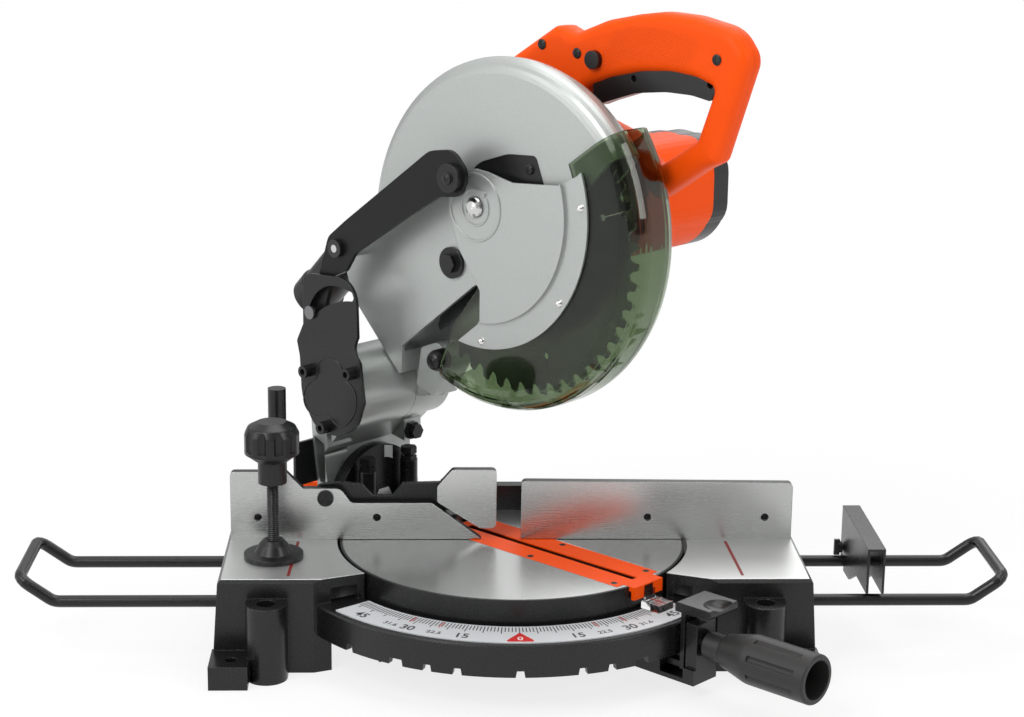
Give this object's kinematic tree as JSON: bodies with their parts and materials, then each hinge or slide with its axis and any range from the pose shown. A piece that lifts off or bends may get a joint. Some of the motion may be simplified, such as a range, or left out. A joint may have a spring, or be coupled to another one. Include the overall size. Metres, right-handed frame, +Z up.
{
  "type": "mitre saw",
  "caption": "Compound mitre saw: turning table on a winged base, tilting arm, chopping head with closed handle and guard linkage, split fence, holder wires and hold-down vice.",
  "frame": {"origin": "on the bench at the mitre axis, the centre of the bench bolt holes", "axes": "+X along the fence to the right, +Y to the back, +Z up from the bench"},
  "size_m": [0.83, 0.4371, 0.5408],
  "materials": {
    "black_casting": "black satin paint on cast aluminium",
    "silver_casting": "silver paint on cast aluminium",
    "bare_alloy": "machined cast aluminium",
    "steel": "plain steel",
    "dark_steel": "black oxide steel",
    "orange_plastic": "fine grain",
    "black_plastic": "fine grain",
    "rubber": "matt",
    "green_clear": "green tinted clear plastic",
    "clear_plastic": "clear plastic",
    "copper_windings": "laminated steel with copper windings",
    "white_plate": "printed scale plate"
  },
  "bodies": {
    "base": {"base_casting": "black_casting", "mitre_scale": "white_plate", "guide_fence": "bare_alloy", "fence_screws": "dark_steel", "pivot_bolt": "steel", "vise_post": "dark_steel"},
    "sub_fence": {"sub_fence": "bare_alloy"},
    "holder_left": {"holder_left": "black_casting"},
    "holder_right": {"holder_right": "black_casting"},
    "stop_plate": {"stop_plate": "black_casting"},
    "stop_plate_screw": {"stop_plate_screw": "dark_steel"},
    "vise_arm": {"vise_arm": "black_casting"},
    "vise_clamp": {"vise_pad": "black_casting"},
    "vise_spindle": {"vise_screw": "dark_steel", "vise_knob": "black_plastic"},
    "table": {"turntable": "black_casting", "kerf_board": "orange_plastic", "kerf_screws": "dark_steel", "pointer": "clear_plastic", "bevel_scale": "white_plate", "stop_bolts": "dark_steel", "bevel_bolt": "steel"},
    "lock_grip": {"lock_grip": "black_plastic", "lock_screw": "steel"},
    "detent_lever": {"detent_lever": "black_casting"},
    "bevel_lever": {"bevel_lever": "orange_plastic"},
    "arm": {"arm": "silver_casting", "chop_shaft": "steel", "return_spring": "steel", "link_bracket": "black_casting", "arm_bolts": "dark_steel", "arm_cover": "black_casting"},
    "head": {"blade_case": "silver_casting", "gear_housing": "silver_casting", "motor_housing": "orange_plastic", "motor_cap": "black_plastic", "handle_left": "orange_plastic", "handle_right": "orange_plastic", "switch_body": "black_plastic", "handle_screws": "dark_steel", "dust_nozzle": "black_plastic", "case_liner": "black_plastic", "cover_bolt": "dark_steel", "guard_stop": "rubber", "field_core": "steel", "bearings": "steel", "pivot_screws": "steel"},
    "trigger": {"trigger": "black_plastic"},
    "lock_off": {"lock_off_button": "black_plastic"},
    "shaft_lock": {"shaft_lock": "dark_steel"},
    "blade": {"blade": "steel", "blade_flanges": "steel", "arbor_bolt": "dark_steel", "spindle": "steel", "drive_gear": "steel"},
    "armature": {"armature": "copper_windings"},
    "guard": {"guard_shroud": "green_clear", "guard_plate": "silver_casting"},
    "link": {"link_lever": "black_casting", "link_roller": "black_plastic"}
  },
  "joints": [
    {"name": "mitre", "type": "hinge", "parent": "base", "child": "table", "pos_m": [0, 0, 0.081], "axis": [0, 0, 1], "range_deg": [-90, 0]},
    {"name": "bevel", "type": "hinge", "parent": "table", "child": "arm", "pos_m": [-0.13081, 0.13081, 0.081], "axis": [0.7071, -0.7071, 0], "range_deg": [0, 14]},
    {"name": "chop", "type": "hinge", "parent": "arm", "child": "head", "pos_m": [-0.09405, 0.12233, 0.196], "axis": [0.7071, 0.7071, 0], "range_deg": [0, 43], "stiffness_Nm_per_rad": 12, "springref_deg": -97.4},
    {"name": "guard_swing", "type": "hinge", "parent": "head", "child": "guard", "pos_m": [-0.03182, -0.01061, 0.3755], "axis": [-0.7071, -0.7071, 0], "range_deg": [0, 95.5]},
    {"name": "link_swing", "type": "hinge", "parent": "head", "child": "link", "pos_m": [-0.15061, 0.07566, 0.3225], "axis": [0.7071, 0.7071, 0], "range_deg": [0, 14.5]},
    {"name": "blade_spin", "type": "hinge", "parent": "head", "child": "blade", "pos_m": [0.00283, -0.00283, 0.3444], "axis": [-0.7071, -0.7071, 0], "continuous": true},
    {"name": "armature_spin", "type": "hinge", "parent": "head", "child": "armature", "pos_m": [0.09954, 0.04188, 0.37525], "axis": [-0.7071, -0.7071, 0], "continuous": true},
    {"name": "trigger_squeeze", "type": "hinge", "parent": "head", "child": "trigger", "pos_m": [0.15274, -0.08485, 0.488], "axis": [0.7071, 0.7071, 0], "range_deg": [0, 4], "stiffness_Nm_per_rad": 2, "springref_deg": -8.59},
    {"name": "lock_off_press", "type": "slide", "parent": "head", "child": "lock_off", "axis": [0.7071, 0.7071, 0], "range_m": [0, 0.004], "stiffness_N_per_m": 800, "springref_m": -0.002},
    {"name": "shaft_lock_press", "type": "slide", "parent": "head", "child": "shaft_lock", "axis": [-0.7071, -0.7071, 0], "range_m": [0, 0.004], "stiffness_N_per_m": 1000, "springref_m": -0.002},
    {"name": "grip_turn", "type": "hinge", "parent": "table", "child": "lock_grip", "pos_m": [0.19799, -0.19799, 0.045], "axis": [0.7071, -0.7071, 0], "range_deg": [0, 120]},
    {"name": "detent_press", "type": "hinge", "parent": "table", "child": "detent_lever", "pos_m": [0.08344, -0.08344, 0.023], "axis": [0.7071, 0.7071, 0], "range_deg": [0, 3.2], "stiffness_Nm_per_rad": 6, "springref_deg": -4.58},
    {"name": "bevel_lever_turn", "type": "hinge", "parent": "table", "child": "bevel_lever", "pos_m": [-0.14142, 0.14142, 0.081], "axis": [-0.7071, 0.7071, 0], "range_deg": [0, 45]},
    {"name": "holder_left_slide", "type": "slide", "parent": "base", "child": "holder_left", "axis": [-1, 0, 0], "range_m": [-0.045, 0.02]},
    {"name": "holder_right_slide", "type": "slide", "parent": "base", "child": "holder_right", "axis": [1, 0, 0], "range_m": [-0.02, 0.02]},
    {"name": "stop_plate_slide", "type": "slide", "parent": "holder_right", "child": "stop_plate", "axis": [1, 0, 0], "range_m": [-0.004, 0.05]},
    {"name": "stop_screw_turn", "type": "hinge", "parent": "stop_plate", "child": "stop_plate_screw", "pos_m": [0.285, 0.014, 0.069], "axis": [-1, 0, 0], "range_deg": [0, 90]},
    {"name": "vise_arm_slide", "type": "slide", "parent": "base", "child": "vise_arm", "axis": [0, 0, -1], "range_m": [-0.02, 0]},
    {"name": "vise_clamp_slide", "type": "slide", "parent": "vise_arm", "child": "vise_clamp", "axis": [0, 0, 1], "range_m": [0, 0.02]},
    {"name": "vise_knob_turn", "type": "hinge", "parent": "vise_clamp", "child": "vise_spindle", "pos_m": [-0.203, -0.044, 0.15], "axis": [0, 0, 1], "range_deg": [-4, 4200]},
    {"name": "sub_fence_flip", "type": "hinge", "parent": "base", "child": "sub_fence", "pos_m": [-0.161, 0.011, 0.1185], "axis": [0, -1, 0], "range_deg": [0, 112]}
  ],
  "couplings": [
    {"joint": "guard_swing", "follows": "chop", "ratio": 2.2093},
    {"joint": "link_swing", "follows": "chop", "ratio": 0.32558},
    {"joint": "armature_spin", "follows": "blade_spin", "ratio": -4.8182},
    {"joint": "vise_knob_turn", "follows": "vise_clamp_slide", "rad_per_m": 3590.4}
  ]
}
